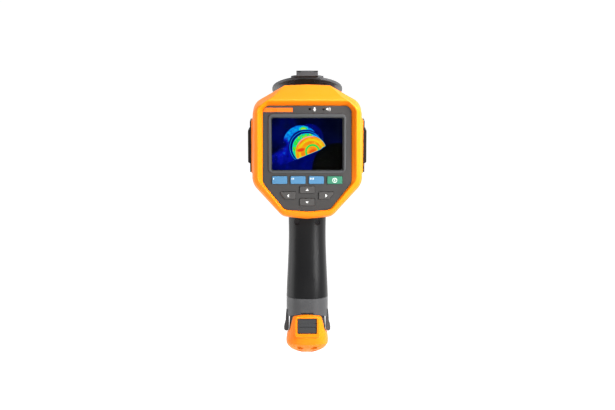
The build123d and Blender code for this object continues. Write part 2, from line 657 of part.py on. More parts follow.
above_seam = Pos(0, 0, -SEAM_S) * Rot(SEAM_TILT, 0, 0) * box(-40, 40, -60, 60, 0, 140)
below_seam = Pos(0, 0, -SEAM_S - 0.15) * Rot(SEAM_TILT, 0, 0) * box(-40, 40, -60, 60, -70, 0)
grip_outer = oval_loft(GRIP_SECTIONS) & above_seam
grip_bay = rounded_plate(BAY_W, BAY_D, BAY_R, -150, -BAY_TOP_S, 0, BAY_SHIFT)
trigger_room = box(-8.4, 8.4, 13.6, 19.3, -56.0, -4.0)


def make_grip_body():
    """Whole grip before it is split: hollow, with the trigger windows and the screw wells."""
    body = grip_outer - grip_bay - trigger_room
    body -= box(-TRIGGER_W / 2 - GAP, TRIGGER_W / 2 + GAP, 15, 40, -TRIGGER_S1 - 1.3, -TRIGGER_S0 + 0.6)
    body -= box(-SMALL_W / 2 - GAP, SMALL_W / 2 + GAP, 15, 40, -SMALL_S1 - GAP, -SMALL_S0 + GAP)
    body -= box(-7, 7, -6, 8, -BAY_TOP_S - 1, 20)  # cable way
    for x in (-GRIP_SCREW_X, GRIP_SCREW_X):
        body -= Pos(x, -20, -GRIP_SCREW_S) * Rot(90, 0, 0) * Cylinder(2.9, 16)
        body -= Pos(x, 0, -GRIP_SCREW_S) * Rot(90, 0, 0) * Cylinder(1.6, 30)
    body -= Pos(0, TRIGGER_PIN[0], -TRIGGER_PIN[1]) * Rot(0, 90, 0) * Cylinder(1.25, 24)
    return on_grip(body) - casing_outer - front_outer


grip_body = make_grip_body()
rear_half = on_grip(box(-40, 40, -60, -0.05, -160, 40))
front_half = on_grip(box(-40, 40, 0.05, 60, -160, 40))
parts["grip_rear_shell"] = grip_body & rear_half
parts["grip_front_shell"] = grip_body & front_half
parts["grip_screws"] = Compound(
    [
        on_grip(Pos(x, -16.4, -GRIP_SCREW_S) * Rot(90, 0, 0) * screw(1.55, 2.7, 14.0, 2.0))
        for x in (-GRIP_SCREW_X, GRIP_SCREW_X)
    ]
)

# ---------------------------------------------------------------- triggers, in the grip's frame
TRIGGER_OUT = 28.6  # how far forward the main trigger's face stands


def make_main_trigger():
    """Curved finger lever on a cross pin."""
    y0, s0 = TRIGGER_PIN
    front = [
        (TRIGGER_OUT - 3.0, -TRIGGER_S0 - 4.0),
        (TRIGGER_OUT - 1.6, -TRIGGER_S0 - 13.0),
        (TRIGGER_OUT, -TRIGGER_S1 + 1.6),
        (TRIGGER_OUT - 2.2, -TRIGGER_S1),
    ]
    foot = [(y0 + 1.6, -TRIGGER_S1), (y0 + 0.6, -TRIGGER_S1 + 4.0), (y0 - 0.8, -s0 - 8.0)]
    head = [(y0 - 2.2, -s0 - 1.0), (y0 - 1.2, -s0 + 2.0), (y0 + 3.0, -s0 + 1.4)]
    side = Plane.YZ * make_face(Polyline(*head, *front, *foot, close=True))
    body = Pos(-TRIGGER_W / 2, 0, 0) * extrude(side, TRIGGER_W)
    edges = body.edges().filter_by(Axis.X, reverse=True).filter_by(lambda e: e.center().Y > y0 + 5.0)
    body = fillet(edges, 1.6)
    body -= Pos(0, y0, -s0) * Rot(0, 90, 0) * Cylinder(1.3, 40)
    return on_grip(body)


parts["main_trigger"] = make_main_trigger()


def make_small_trigger():
    body = box(-SMALL_W / 2, SMALL_W / 2, 17.6, 26.6, -SMALL_S1, -SMALL_S0)
    body = fillet(body.faces().sort_by(Axis.Y)[-1].edges(), 1.8)
    body += box(-SMALL_W / 2 - 1.2, SMALL_W / 2 + 1.2, 17.2, 18.3, -SMALL_S1 - 0.5, -SMALL_S0 + 0.5)
    return on_grip(body)


parts["small_trigger"] = make_small_trigger()
parts["trigger_pin"] = on_grip(Pos(0, TRIGGER_PIN[0], -TRIGGER_PIN[1]) * Rot(0, 90, 0) * Cylinder(1.25, 23.6))
parts["trigger_switches"] = Compound(
    [on_grip(box(-4, 4, 13.6, 14.8, -s - 3, -s + 3)) for s in (12.8, 41.0)]
)

# ---------------------------------------------------------------- collar with strap loops
COLLAR_A, COLLAR_B = 21.3, 24.8
LOOP_X, LOOP_S, LOOP_R = 21.2, 122.6, 2.4
LOOP_Y = 10.6  # half length of the strap bar
ARM_W = 4.2  # width of the arms that hold it


def arch_cut(low_mid, low_side, reach=60.0):
    """Everything below an arch that is lower at the sides than in the middle."""
    rise = low_side - low_mid
    radius = (21.0**2 + rise**2) / (2 * rise)
    block = box(-40, 40, -reach, reach, -low_mid - 60, -low_mid + 10)
    dome = Pos(0, 0, -low_mid - radius) * Rot(90, 0, 0) * Cylinder(radius, 2 * reach)
    return block & dome


def make_collar():
    sections = [(82.0, COLLAR_A), (98.0, COLLAR_A), (111.5, COLLAR_A - 0.1)]
    body = oval_loft([(s, a, COLLAR_B) for s, a in sections]) & below_seam
    body -= arch_cut(COLLAR_S, COLLAR_S + 3.4)
    body -= grip_bay
    body -= box(-6.3, 6.3, -30, -22, -COLLAR_S - 5, -COLLAR_S + 1.6)  # catch window
    tip = LOOP_X + LOOP_R
    outer = [(21.3, -103.0), (21.9, -110.0), (22.1, -115.0), (tip, -LOOP_S + 2.4), (tip, -LOOP_S)]
    inner = [(LOOP_X - LOOP_R, -LOOP_S), (18.9, -114.0), (19.2, -102.0)]
    arm = Pos(0, ARM_W / 2, 0) * extrude(Plane.XZ * make_face(Polyline(*outer, *inner, close=True)), ARM_W)
    reach = LOOP_Y - ARM_W / 2
    loop = Pos(0, reach, 0) * arm + Pos(0, -reach, 0) * arm
    loop += Pos(LOOP_X, 0, -LOOP_S) * Rot(90, 0, 0) * Cylinder(LOOP_R, 2 * LOOP_Y)
    return on_grip(body + loop + loop.mirror(Plane.YZ))


parts["grip_collar"] = make_collar()

# ---------------------------------------------------------------- battery
PACK_W, PACK_D, PACK_R = BAY_W - 2 * PACK_GAP, BAY_D - 2 * PACK_GAP, BAY_R - PACK_GAP
PACK_TOP_S = 21.5
BUTTON_S0, BUTTON_S1, BUTTON_W = 111.0, 126.6, 19.8
CAP_T = 1.6  # thickness of the coloured overmould
CONTACT_X = (-9.0, -3.0, 3.0, 9.0)  # the four contacts at the top of the pack
CAP_SCREW_X = 7.1
CAP_SCREW_ROWS = ((-17.5, 139.4), (-7.6, 143.0))  # y and the distance down the axis of the heads
CAP_SCREWS = [(x, y, s) for x in (-CAP_SCREW_X, CAP_SCREW_X) for y, s in CAP_SCREW_ROWS]
CAP_SCREW_WELL = 3.3  # radius of their wells

CAP_SECTIONS = [  # distance down the axis, half width, half depth
    (COLLAR_S - 1.0, 19.3, 24.6),
    (118.0, 19.9, 25.2),
    (124.0, 20.2, 25.8),
    (127.5, 20.6, 26.1),
    (130.5, 21.0, 26.2),
    (134.5, 21.5, 25.9),
    (138.0, 21.2, 24.4),
    (141.0, 19.4, 20.6),
    (143.6, 16.6, 15.6),
    (145.8, 12.2, 10.4),
    (FOOT_S, 7.0, 6.0),
]
TONGUE = [
    (12.0, 107.9),
    (14.6, 110.4),
    (16.4, 118.0),
    (17.5, 123.0),
    (19.2, 126.0),
    (21.4, 128.2),
    (30.0, 129.0),
]


def cap_block(shrink=0.0):
    """The battery's foot, with its whole surface moved inwards."""
    sections = [(s - shrink, a - shrink, b - shrink) for s, a, b in CAP_SECTIONS]
    return Solid.make_loft([oval_wire(a, b, s, count=16) for s, a, b in sections], ruled=True)


def tongue_side_cut():
    """Everything outside the tongue of the cap, above its flared foot."""
    edge = [(x, -s) for x, s in TONGUE]
    right = Plane.XZ * make_face(Polyline(*edge, (30.0, -100.0), (12.0, -100.0), close=True))
    solid = Pos(0, 40, 0) * extrude(right, 80)
    return solid + solid.mirror(Plane.YZ)


def arch_top_cut():
    """Everything above the collar's arch, with its clearance."""
    keep = arch_cut(COLLAR_S + 0.5, COLLAR_S + 3.9)
    return box(-40, 40, -60, 60, -COLLAR_S - 8, 20) - keep


def screw_wells():
    """Wells and shank holes of the screws under the foot."""
    holes = []
    for x, y, s in CAP_SCREWS:
        holes.append(Pos(x, y, -s - 3.2) * Cylinder(CAP_SCREW_WELL, 10.0))
        holes.append(Pos(x, y, -s + 4.6) * Cylinder(1.5, 12.0))
    return holes


arch_top = arch_top_cut()


def make_battery_cap():
    """Coloured overmould: a cup under the battery with a tongue up its back and front."""
    pad = box(-12.7, 12.7, -27.2, -20.0, -130.6, -109.2)
    pad = fillet(pad.edges().filter_by(Axis.Y), 3.0)
    pad = chamfer(pad.faces().sort_by(Axis.Y)[0].edges(), 0.9)
    window = box(-BUTTON_W / 2, BUTTON_W / 2, -40, -15, -BUTTON_S1, -BUTTON_S0)
    cuts = [cap_block(CAP_T), tongue_side_cut(), arch_top, fillet(window.edges().filter_by(Axis.Y), 1.0)]
    return on_grip((cap_block() + pad) - cuts - screw_wells())


parts["battery_cap"] = make_battery_cap()


def make_battery_case():
    """Dark battery housing: the long pack and the foot inside the cap."""
    foot = cap_block(CAP_T + 0.15) - arch_top
    pack = rounded_plate(PACK_W, PACK_D, PACK_R, -125, -PACK_TOP_S, 0, BAY_SHIFT)
    hollow = rounded_plate(PACK_W - 3, PACK_D - 3, PACK_R - 1.5, -118, -PACK_TOP_S - 1.5, 0, BAY_SHIFT)
    room = box(-BUTTON_W / 2 - 1, BUTTON_W / 2 + 1, -40, -19.2, -BUTTON_S1 - 1, -BUTTON_S0 + 1)
    cuts = [hollow, room]
    for x in CONTACT_X:  # contact slots on top of the pack
        cuts.append(box(x - 0.9, x + 0.9, -12, 2, -PACK_TOP_S - 1.0, -PACK_TOP_S + 1))
    return on_grip((foot + pack) - cuts - screw_wells())


parts["battery_case"] = make_battery_case()
CELL_R, CELL_L = 5.9, 65.0
CELLS = [(x, BAY_SHIFT + y) for x in (-6.1, 6.1) for y in (-6.1, 6.1)]
parts["battery_cells"] = Compound(
    [on_grip(Pos(x, y, -25.5 - CELL_L / 2) * Cylinder(CELL_R, CELL_L)) for x, y in CELLS]
)
parts["battery_board"] = on_grip(rounded_plate(PACK_W - 4, PACK_D - 4, 6.0, -97.0, -95.4, 0, BAY_SHIFT))


def make_release_button():
    """Ribbed push button in the cap's back window."""
    g = GAP
    body = box(-BUTTON_W / 2 + g, BUTTON_W / 2 - g, -25.9, -22.6, -BUTTON_S1 + g, -BUTTON_S0 - g)
    body = fillet(body.edges().filter_by(Axis.Y), 0.8)
    for s, depth in ((116.4, 0.35), (120.0, 0.8)):
        body -= box(-BUTTON_W / 2 + 1.6, BUTTON_W / 2 - 1.6, -27, -25.9 + depth, -s - 0.5, -s + 0.5)
    return on_grip(body)


parts["release_button"] = make_release_button()
parts["cap_screws"] = Compound(
    [
        on_grip(Pos(x, y, -s) * Rot(180, 0, 0) * screw(1.4, 2.6, 7.0, 1.6))
        for x, y, s in CAP_SCREWS
    ]
)


def make_contacts():
    """Contact block on the bay's roof, with four pins over the pack's slots."""
    body = box(-12, 12, -12, 2, -BAY_TOP_S - 2.4, -BAY_TOP_S)
    for x in CONTACT_X:
        body += box(x - 0.7, x + 0.7, -9, 0, -BAY_TOP_S - 3.4, -BAY_TOP_S - 2.4)
    return on_grip(body)


parts["battery_contacts"] = make_contacts()

# ---------------------------------------------------------------- write the parts
os.makedirs("parts", exist_ok=True)
for name, shape in parts.items():
    export_step(shape, f"parts/{name}.step")
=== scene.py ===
"""Looks of the pistol-grip thermal imaging camera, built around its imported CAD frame.

Units are metres, in the CAD's frame: the origin is at the mouth of the lens ring, +Y looks out of
the lens and +Z is up. Casing outlines repeat the driving dimensions of the CAD, in millimetres.
"""

import json
import math

import bmesh
import bpy
from mathutils import Matrix, Vector

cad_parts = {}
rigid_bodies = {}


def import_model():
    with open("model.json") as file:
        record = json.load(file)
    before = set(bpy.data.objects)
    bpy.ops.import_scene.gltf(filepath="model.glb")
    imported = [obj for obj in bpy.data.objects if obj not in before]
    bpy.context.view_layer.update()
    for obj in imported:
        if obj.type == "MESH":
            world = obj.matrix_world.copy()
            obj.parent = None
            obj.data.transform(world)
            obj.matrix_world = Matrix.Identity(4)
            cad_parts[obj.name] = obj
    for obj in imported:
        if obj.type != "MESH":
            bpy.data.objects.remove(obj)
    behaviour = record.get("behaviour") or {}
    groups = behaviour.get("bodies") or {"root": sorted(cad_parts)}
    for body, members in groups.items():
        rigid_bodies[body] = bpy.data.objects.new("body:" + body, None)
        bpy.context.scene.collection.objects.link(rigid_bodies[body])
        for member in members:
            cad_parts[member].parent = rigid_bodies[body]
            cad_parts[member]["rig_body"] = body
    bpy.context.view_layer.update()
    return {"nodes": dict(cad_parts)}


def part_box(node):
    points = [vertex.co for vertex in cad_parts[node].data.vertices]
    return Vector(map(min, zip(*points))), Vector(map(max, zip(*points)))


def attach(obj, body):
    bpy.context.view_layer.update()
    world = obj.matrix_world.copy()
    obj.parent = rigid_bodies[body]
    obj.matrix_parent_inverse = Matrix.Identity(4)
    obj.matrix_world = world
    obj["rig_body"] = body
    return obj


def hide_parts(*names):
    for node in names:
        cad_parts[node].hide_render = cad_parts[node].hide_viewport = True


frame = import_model()
NODES = frame["nodes"]
MM = 0.001

# ---------------------------------------------------------------- driving dimensions, millimetres
PANEL_TILT = math.radians(3.0)  # the control panel looks up by this much
PANEL_Y, PANEL_Z = -142.0, 13.0  # centre of the display
PANEL_T = 2.5
PANEL_GAP = 0.35  # dark line round the control panel
LEDGE_GAP = 0.1  # clearance between the panel and the ledge behind it
LEDGE_DEPTH = 7.0  # foot of the ledge, behind the panel's face
WALL = 2.5
INNER_BROW_Y = -136.6  # inside of the wall at the brow
CHAMFER_INSET = 0.7  # the hood's lip, before its inner slope
BOSS_ROOT_X = 46.0  # the side bosses start inside the cheeks
BOSS_MARGIN_Y, BOSS_MARGIN_Z = 2.0, 1.2  # how far a boss reaches past its bracket
BOSS_FILLET = 1.0
COVER_OPEN = 246.2  # the lens cover's turn from closed, degrees
GRIP_LEAN = math.radians(9.0)
GRIP_Y, GRIP_Z = -104.0, -58.0
# Half widths of the grip: distance down its axis, half width
GRIP_HALVES = [(3.0, 19.5), (12.0, 19.1), (32.0, 19.0), (62.0, 20.1), (87.0, 21.0)]
BAY_SIDE = 15.3  # just outside the battery bay
SEAM_INSET, SEAM_T = 0.5, 0.08  # the seam's strips below the grip's surface, and their thickness

# Casing outline at each station: y, roof edge, shoulder, side foot, lower corner, crown, keel, fillets.
RIM = (-148.0, (40.5, 56.7), (49.0, 48.4), (49.4, -22.5), (24.2, -53.6), 56.9, -55.8, (9, 9, 12, 11))
ROUND = (-145.8, (37.5, 58.2), (51.7, 48.2), (52.6, -25.0), (24.4, -57.6), 58.4, -59.8, (6, 10, 15, 11))
BROW = (-139.0, (33.0, 60.0), (53.9, 48.2), (54.8, -27.5), (24.6, -60.8), 60.5, -63.2, (1.5, 12, 18, 12))
CREST = (-110.0, (22.7, 68.4), (54.4, 50.4), (54.8, -26.5), (24.5, -59.4), 69.2, -62.2, (1.5, 14, 18, 12))
SPLIT = (-88.0, (20.0, 65.0), (50.5, 45.0), (50.5, -24.0), (24.0, -56.6), 65.8, -59.4, (2, 14, 18, 12))
PANEL = (0.0, (39.6, 37.6), (43.6, 33.4), (43.9, -38.5), (22.4, -65.2), 37.8, -67.2, (5, 5, 10, 8))
CROWN_R = 60.0  # slow bend at the middle of the roof and of the keel
ARC_STEPS = 10  # steps on each rounded corner of an outline

PICTURE_W, PICTURE_H, PICTURE_R = 69.6, 51.2, 2.2  # lit area of the display and its corner radius
PICTURE_DEPTH, PICTURE_T = 1.695, 0.05  # its sheet's back, below the panel's face, and its thickness
SCREEN_V = -0.2  # height of the picture's centre on the panel

INK_T = 0.06
KEY_TOP = 1.7  # height of the keys over the panel
ARROW_TIP, ARROW_BACK, ARROW_HALF = 1.1, 0.8, 1.6  # arrow marks, from their centre
DASH_U, DASH_V, DASH_PITCH, DASH_W, DASH_H = -5.9, 1.6, 1.5, 0.6, 1.6  # soft keys' dashes
POWER_R, POWER_STROKE, POWER_BAR_H = 2.1, 0.5, 2.2
MARKS_V = 34.4  # height of the microphone and speaker marks on the panel
MICROPHONE_U, SPEAKER_U = 7.3, 18.8


# ---------------------------------------------------------------- frames
def panel_point(u, v, height=0.0):
    """Point on the control panel: u to the right, v up it, height out of it, all in millimetres."""
    s, c = math.sin(PANEL_TILT), math.cos(PANEL_TILT)
    return Vector((u, PANEL_Y + v * s - height * c, PANEL_Z + v * c + height * s)) * MM


def panel_uv(point):
    """The (u, v) of a point in metres, seen square to the control panel."""
    s, c = math.sin(PANEL_TILT), math.cos(PANEL_TILT)
    x, y, z = point / MM
    return x, (y - PANEL_Y) * s + (z - PANEL_Z) * c


def grip_point(x, y, down):
    """Point in the grip's frame: x to the right, y forward, down along its axis, in millimetres."""
    s, c = math.sin(GRIP_LEAN), math.cos(GRIP_LEAN)
    return Vector((x, GRIP_Y + y * c - down * s, GRIP_Z - y * s - down * c)) * MM


def centre(node):
    low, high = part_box(node)
    return (low + high) / 2


# ---------------------------------------------------------------- mesh helpers
SHARP_ANGLE = 28.0  # edges that bend more than this, in degrees, are rounded
FLAT_ANGLE = 0.6  # facets that bend less than this are joined into one face
CASING_ANGLE = 32.0  # the rear casing's edges that bend more than this stay sharp
WELD = 2e-6  # points closer than this, in metres, become one


def add_object(name, mesh, smooth=True):
    obj = bpy.data.objects.new(name, mesh)
    bpy.context.scene.collection.objects.link(obj)
    for poly in mesh.polygons:
        poly.use_smooth = smooth
    return obj


def from_points(name, verts, faces):
    mesh = bpy.data.meshes.new(name)
    mesh.from_pydata([tuple(v) for v in verts], [], faces)
    mesh.validate()
    return add_object(name, mesh)


def from_bmesh(name, bm, smooth=True):
    mesh = bpy.data.meshes.new(name)
    bmesh.ops.recalc_face_normals(bm, faces=bm.faces)
    bm.to_mesh(mesh)
    bm.free()
    return add_object(name, mesh, smooth)


def apply_modifiers(obj):
    """Replaces the object's mesh by its evaluated one."""
    bpy.context.view_layer.update()
    graph = bpy.context.evaluated_depsgraph_get()
    mesh = bpy.data.meshes.new_from_object(obj.evaluated_get(graph))
    obj.modifiers.clear()
    obj.data = mesh


def bevel(obj, width):
    """Rounds the object's sharp edges, and shades the rest smooth."""
    mod = obj.modifiers.new("bevel", "BEVEL")
    mod.width = width * MM
    mod.segments = 2
    mod.limit_method = "ANGLE"
    mod.angle_limit = math.radians(SHARP_ANGLE)
    mod.harden_normals = False
    mod.use_clamp_overlap = True
    mod.miter_outer = "MITER_ARC"
    weighted = obj.modifiers.new("normals", "WEIGHTED_NORMAL")
    weighted.keep_sharp = True
    weighted.weight = 60


def mark_sharp(bm, angle):
    """Shades smooth across the edges that bend less than the angle, in degrees."""
    limit = math.radians(angle)
    for edge in bm.edges:
        if len(edge.link_faces) == 2:
            edge.smooth = edge.calc_face_angle(0.0) < limit
        else:
            edge.smooth = False


def soften(node, width):
    """A copy of a CAD node with its edges rounded by the width, which stands for the node."""
    bm = bmesh.new()
    bm.from_mesh(NODES[node].data)
    bmesh.ops.remove_doubles(bm, verts=bm.verts, dist=WELD)
    flat = math.radians(FLAT_ANGLE)
    bmesh.ops.dissolve_limit(bm, angle_limit=flat, verts=bm.verts, edges=bm.edges)
    mark_sharp(bm, SHARP_ANGLE)
    obj = from_bmesh(node + "_shell", bm)
    bevel(obj, width)
    apply_modifiers(obj)
    obj.data.materials.clear()
    obj.data.materials.append(materials[FINISH[node]])
    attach(obj, NODES[node]["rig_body"])
    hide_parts(node)
    return obj


def inset_polygon(points, distance):
    """The closed polygon with every side moved inwards; the points run clockwise."""
    moved = []
    for i, (bx, bz) in enumerate(points):
        ax, az = points[i - 1]
        cx, cz = points[(i + 1) % len(points)]
        d1, d2 = Vector((bx - ax, bz - az)).normalized(), Vector((cx - bx, cz - bz)).normalized()
        n1, n2 = Vector((d1.y, -d1.x)), Vector((d2.y, -d2.x))
        share = distance / (1 + n1.dot(n2))
        moved.append((bx + (n1.x + n2.x) * share, bz + (n1.y + n2.y) * share))
    return moved


def outline(station, inset=0.0):
    """Points of a rounded outline, clockwise from the crown, as (x, z) in millimetres."""
    _, roof, shoulder, side, low, crown, keel, radii = station
    right = [roof, shoulder, side, low]
    corners = [(0.0, crown)] + right + [(0.0, keel)] + [(-x, z) for x, z in reversed(right)]
    around = [CROWN_R] + list(radii) + [CROWN_R] + list(reversed(radii))
    if inset:
        corners = inset_polygon(corners, inset)
        around = [max(0.6, r - inset) for r in around]
    points = []
    for i, corner in enumerate(corners):
        here = Vector(corner)
        before = (Vector(corners[i - 1]) - here).normalized()
        after = (Vector(corners[(i + 1) % len(corners)]) - here).normalized()
        half = math.acos(max(-1.0, min(1.0, before.dot(after)))) / 2
        reach = around[i] / math.tan(half)
        middle = here + (before + after).normalized() * around[i] / math.sin(half)
        start, end = here + before * reach - middle, here + after * reach - middle
        sweep = start.angle_signed(end)
        for k in range(ARC_STEPS + 1):
            turned = start.copy()
            turned.rotate(Matrix.Rotation(-sweep * k / ARC_STEPS, 2))
            points.append(tuple(middle + turned))
    return points


def casing_ring(station, inset=0.0, y=None):
    at = station[0] if y is None else y
    return [Vector((x, at, z)) * MM for x, z in outline(station, inset)]


def panel_ring(inset, height):
    return [panel_point(x, v, height) for x, v in outline(PANEL, inset)]


def eased(rings, rounding):
    """Rings with each inner one replaced by a short curve; rounding is its reach in millimetres."""
    steps, share = 4, 0.48  # a curve takes at most this share of the way to the next ring
    result = [rings[0]]
    for i in range(1, len(rings) - 1):
        reach = rounding[i] * MM
        if not reach:
            result.append(rings[i])
            continue
        curves = []
        for a, b, c in zip(rings[i - 1], rings[i], rings[i + 1]):
            to_a, to_c = a - b, c - b
            start = b + to_a.normalized() * min(reach, to_a.length * share)
            end = b + to_c.normalized() * min(reach, to_c.length * share)
            curves.append((start, b, end))
        for k in range(steps + 1):
            t = k / steps
            result.append([s * (1 - t) ** 2 + m * 2 * t * (1 - t) + e * t * t for s, m, e in curves])
    result.append(rings[-1])
    return result


def skin(name, rings):
    """Closed tube whose faces join each ring to the next, and the last to the first."""
    count = len(rings[0])
    verts = [v for ring in rings for v in ring]
    faces = []
    for r in range(len(rings)):
        a, b = r * count, ((r + 1) % len(rings)) * count
        for i in range(count):
            j = (i + 1) % count
            faces.append((a + i, a + j, b + j, b + i))
    obj = from_points(name, verts, faces)
    bm = bmesh.new()
    bm.from_mesh(obj.data)
    bmesh.ops.remove_doubles(bm, verts=bm.verts, dist=1e-6)
    bmesh.ops.recalc_face_normals(bm, faces=bm.faces)
    bm.to_mesh(obj.data)
    bm.free()
    return obj


def smooth_by_angle(obj, angle):
    """Shades the object smooth, but keeps the edges that bend more than the angle sharp."""
    bm = bmesh.new()
    bm.from_mesh(obj.data)
    mark_sharp(bm, angle)
    for face in bm.faces:
        face.smooth = True
    bm.to_mesh(obj.data)
    bm.free()


def arc(cx, cy, radius, start, end, steps):
    """Points along an arc; the angles are in radians."""
    turn = (end - start) / steps
    angles = [start + turn * k for k in range(steps + 1)]
    return [(cx + radius * math.cos(a), cy + radius * math.sin(a)) for a in angles]


def arc_band(cx, cy, radius, width, start, end, steps=16):
    """Closed loop of a curved stroke."""
    outer = arc(cx, cy, radius + width / 2, start, end, steps)
    inner = arc(cx, cy, radius - width / 2, start, end, steps)
    return outer + inner[::-1]


def bar(cx, cy, w, h):
    """Closed loop of a rectangle."""
    left, right = cx - w / 2, cx + w / 2
    low, high = cy - h / 2, cy + h / 2
    return [(left, low), (right, low), (right, high), (left, high)]


def flat_decal(name, loops, place, thickness=INK_T):
    """Thin sheet over closed loops of (u, v) in millimetres; place turns (u, v, height) into a point."""
    bm = bmesh.new()
    for loop in loops:
        low = [bm.verts.new(place(u, v, 0.0)) for u, v in loop]
        high = [bm.verts.new(place(u, v, thickness)) for u, v in loop]
        bm.faces.new(high)
        bm.faces.new(list(reversed(low)))
        for i in range(len(loop)):
            j = (i + 1) % len(loop)
            bm.faces.new((low[i], low[j], high[j], high[i]))
    return from_bmesh(name, bm, smooth=False)


def join(objects, name):
    """One object from several."""
    bm = bmesh.new()
    for obj in objects:
        bm.from_mesh(obj.data)
        bpy.data.objects.remove(obj)
    return from_bmesh(name, bm)


# ---------------------------------------------------------------- material helpers
def map_range(tree, value, low, high, to_low, to_high, smooth):
    """Output that goes from to_low to to_high as the value goes from low to high."""
    node = tree.nodes.new("ShaderNodeMapRange")
    node.interpolation_type = "SMOOTHSTEP" if smooth else "LINEAR"
    tree.links.new(value, node.inputs["Value"])
    ends = {"From Min": low, "From Max": high, "To Min": to_low, "To Max": to_high}
    for socket, end in ends.items():
        node.inputs[socket].default_value = end
    return node.outputs["Result"]


class Graph:
    """One node material around a Principled shader."""

    def __init__(self, name):
        self.material = bpy.data.materials.new(name)
        self.material.use_nodes = True
        self.tree = self.material.node_tree
        self.nodes, self.links = self.tree.nodes, self.tree.links
        self.bsdf = next(n for n in self.nodes if n.type == "BSDF_PRINCIPLED")
        self.coords = self.nodes.new("ShaderNodeTexCoord").outputs["Object"]

    def set(self, **values):
        """Sets sockets of the shader to constants."""
        for key, value in values.items():
            self.bsdf.inputs[key.replace("_", " ")].default_value = value

    def plug(self, source, socket):
        """Drives a socket of the shader from an output."""
        self.links.new(source, self.bsdf.inputs[socket])

    def feed(self, socket, value):
        """Gives a socket a number, a colour or another node's output."""
        if isinstance(value, (int, float)):
            socket.default_value = value
        elif isinstance(value, tuple):
            socket.default_value = (*value, 1.0)
        else:
            self.links.new(value, socket)

    def noise(self, scale, detail=3.0, stretch=(1, 1, 1)):
        """Cloudy noise from 0 to 1; stretch multiplies the coordinates."""
        mapping = self.nodes.new("ShaderNodeMapping")
        mapping.inputs["Scale"].default_value = stretch
        self.links.new(self.coords, mapping.inputs["Vector"])
        node = self.nodes.new("ShaderNodeTexNoise")
        node.inputs["Scale"].default_value = scale
        node.inputs["Detail"].default_value = detail
        node.inputs["Roughness"].default_value = 0.55
        self.links.new(mapping.outputs[0], node.inputs["Vector"])
        return node.outputs["Fac"]

    def cells(self, scale):
        """Soft-edged cells, like the spark-eroded grain of a mould."""
        node = self.nodes.new("ShaderNodeTexVoronoi")
        node.feature = "SMOOTH_F1"
        node.inputs["Scale"].default_value = scale
        self.links.new(self.coords, node.inputs["Vector"])
        return node.outputs["Distance"]

    def math(self, operation, *values):
        node = self.nodes.new("ShaderNodeMath")
        node.operation = operation
        for socket, value in zip(node.inputs, values):
            self.feed(socket, value)
        return node.outputs[0]

    def span(self, value, low, high, to_low=0.0, to_high=1.0, smooth=False):
        return map_range(self.tree, value, low, high, to_low, to_high, smooth)

    def ramp(self, value, stops):
        node = self.nodes.new("ShaderNodeValToRGB")
        elements = node.color_ramp.elements
        while len(elements) < len(stops):
            elements.new(0.5)
        for element, (position, colour) in zip(elements, stops):
            element.position = position
            element.color = (*colour, 1.0)
        self.links.new(value, node.inputs["Fac"])
        return node.outputs["Color"]

    def mix(self, factor, a, b):
        """Colour that goes from a to b as the factor goes from 0 to 1."""
        node = self.nodes.new("ShaderNodeMix")
        node.data_type = "RGBA"
        self.feed(node.inputs["Factor"], factor)
        for socket, value in zip([s for s in node.inputs if s.type == "RGBA"], (a, b)):
            self.feed(socket, value)
        return next(s for s in node.outputs if s.type == "RGBA")

    def bump(self, height, distance, strength=1.0, normal=None):
        node = self.nodes.new("ShaderNodeBump")
        node.inputs["Distance"].default_value = distance
        node.inputs["Strength"].default_value = strength
        self.links.new(height, node.inputs["Height"])
        if normal is not None:
            self.links.new(normal, node.inputs["Normal"])
        return node.outputs["Normal"]

    def edges(self):
        """1 on sharp outer edges, 0 on flats."""
        node = self.nodes.new("ShaderNodeNewGeometry")
        return self.span(node.outputs["Pointiness"], 0.515, 0.56, smooth=True)


def linear(r, g, b):
    """Linear colour from 8-bit sRGB values."""
    return tuple((c / 255 / 12.92) if c <= 10 else ((c / 255 + 0.055) / 1.055) ** 2.4 for c in (r, g, b))


def scaled(colour, factor):
    """The colour made darker or lighter."""
    return tuple(min(1.0, c * factor) for c in colour)


def moulded(
    name, colour, roughness=0.5, grain=2e-5, grain_scale=2600, vary=0.06, wear=0.25, specular=0.4
):
    """Moulded plastic or rubber: mottled colour, fine spark grain, rubbed edges.

    grain is the grain's depth in metres and grain_scale its cells per metre; vary is how much the
    colour varies, and wear how much lighter the rubbed edges are.
    """
    g = Graph(name)
    cloud = g.noise(38, 4.0)
    speck = g.noise(900, 2.0)
    base = g.mix(cloud, scaled(colour, 1 - vary), scaled(colour, 1 + vary))
    base = g.mix(g.span(speck, 0.35, 0.65, 0.0, 0.12), base, scaled(colour, 0.72))
    rubbed = g.math("MULTIPLY", g.edges(), g.span(g.noise(160, 3.0), 0.42, 0.62))
    base = g.mix(g.math("MULTIPLY", rubbed, wear), base, scaled(colour, 1.9))
    g.plug(base, "Base Color")
    smear = g.noise(55, 3.0, stretch=(1, 1, 0.35))
    rough = g.span(smear, 0.3, 0.7, roughness - 0.05, roughness + 0.06)
    g.plug(g.math("SUBTRACT", rough, g.math("MULTIPLY", rubbed, 0.1)), "Roughness")
    fine = g.bump(g.cells(grain_scale), grain, 0.55)
    g.plug(g.bump(g.noise(70, 2.0), 4e-5, 0.25, fine), "Normal")
    g.set(Specular_IOR_Level=specular)
    return g.material


def metal(name, colour, roughness):
    """Machined or plated metal with fine tool marks."""
    g = Graph(name)
    cloud = g.noise(60, 4.0)
    g.plug(g.mix(cloud, scaled(colour, 0.75), scaled(colour, 1.08)), "Base Color")
    marks = g.noise(900, 3.0)
    g.plug(g.span(marks, 0.3, 0.7, roughness - 0.06, roughness + 0.12), "Roughness")
    g.plug(g.bump(marks, 1e-5, 0.5), "Normal")
    g.set(Metallic=1.0)
    return g.material


